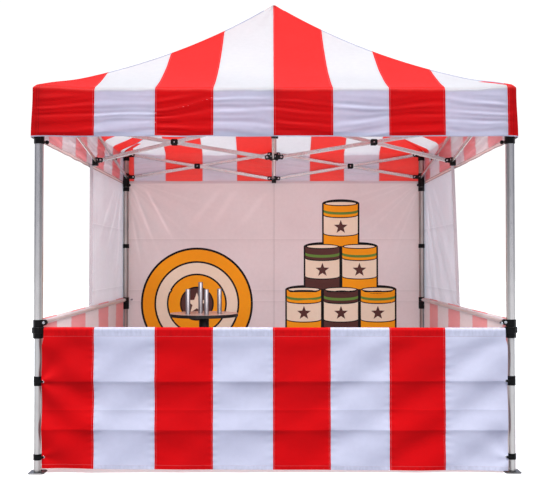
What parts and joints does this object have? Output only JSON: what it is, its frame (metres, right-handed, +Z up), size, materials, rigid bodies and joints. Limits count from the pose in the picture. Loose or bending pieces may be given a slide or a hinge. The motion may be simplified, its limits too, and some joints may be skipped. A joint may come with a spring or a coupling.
{
  "type": "carnival booth",
  "caption": "Carnival game booth: a striped peaked canopy with a valance on a folding leg frame, striped counter walls on three sides, a white back wall with short wings and a game table inside",
  "frame": {"origin": "on the ground, under the middle of the square plan", "axes": "+Z up, the counter faces -Y, +X to the right of someone facing the counter"},
  "size_m": [3.044, 3.044, 3.396],
  "materials": {
    "striped_fabric": "red and white striped woven polyester",
    "white_fabric": "white woven polyester",
    "frame_aluminium": "satin anodised",
    "black_plastic": "moulded, fine grain",
    "black_webbing": "woven webbing",
    "pin_steel": "turned and brushed",
    "table_black": "black edge, post and base, polished grey-brown top",
    "foot_steel": "zinc plated, dulled"
  },
  "bodies": {
    "booth": {"back_left_leg_straps": "black_webbing", "back_left_outer_leg": "frame_aluminium", "back_right_leg_straps": "black_webbing", "back_right_outer_leg": "frame_aluminium", "back_roof_panel": "striped_fabric", "back_truss_bars": "frame_aluminium", "back_valance": "striped_fabric", "back_wall": "white_fabric", "back_wall_bands": "black_webbing", "centre_mast": "frame_aluminium", "cross_truss_bars": "frame_aluminium", "front_counter_wall": "striped_fabric", "front_left_leg_straps": "black_webbing", "front_left_outer_leg": "frame_aluminium", "front_rail": "frame_aluminium", "front_right_leg_straps": "black_webbing", "front_right_outer_leg": "frame_aluminium", "front_roof_panel": "striped_fabric", "front_truss_bars": "frame_aluminium", "front_valance": "striped_fabric", "game_pins": "pin_steel", "game_table_base": "table_black", "game_table_post": "table_black", "game_table_top": "table_black", "left_back_wing": "white_fabric", "left_counter_wall": "striped_fabric", "left_rail": "frame_aluminium", "left_roof_panel": "striped_fabric", "left_truss_bars": "frame_aluminium", "left_valance": "striped_fabric", "leg_heads": "black_plastic", "leg_locks": "black_plastic", "leg_sliders": "black_plastic", "mast_hubs": "black_plastic", "peak_cap": "black_plastic", "rail_clamps": "black_plastic", "right_back_wing": "white_fabric", "right_counter_wall": "striped_fabric", "right_rail": "frame_aluminium", "right_roof_panel": "striped_fabric", "right_truss_bars": "frame_aluminium", "right_valance": "striped_fabric", "truss_mid_connectors": "black_plastic", "truss_pivots": "black_plastic"},
    "front_left_leg": {"front_left_inner_leg": "frame_aluminium", "front_left_foot_plate": "foot_steel"},
    "front_right_leg": {"front_right_inner_leg": "frame_aluminium", "front_right_foot_plate": "foot_steel"},
    "back_left_leg": {"back_left_inner_leg": "frame_aluminium", "back_left_foot_plate": "foot_steel"},
    "back_right_leg": {"back_right_inner_leg": "frame_aluminium", "back_right_foot_plate": "foot_steel"}
  },
  "joints": [
    {"name": "front_left_leg_slide", "type": "slide", "parent": "booth", "child": "front_left_leg", "axis": [0, 0, 1], "range_m": [-0.09, 0]},
    {"name": "front_right_leg_slide", "type": "slide", "parent": "booth", "child": "front_right_leg", "axis": [0, 0, 1], "range_m": [-0.09, 0]},
    {"name": "back_left_leg_slide", "type": "slide", "parent": "booth", "child": "back_left_leg", "axis": [0, 0, 1], "range_m": [-0.09, 0]},
    {"name": "back_right_leg_slide", "type": "slide", "parent": "booth", "child": "back_right_leg", "axis": [0, 0, 1], "range_m": [-0.09, 0]}
  ]
}
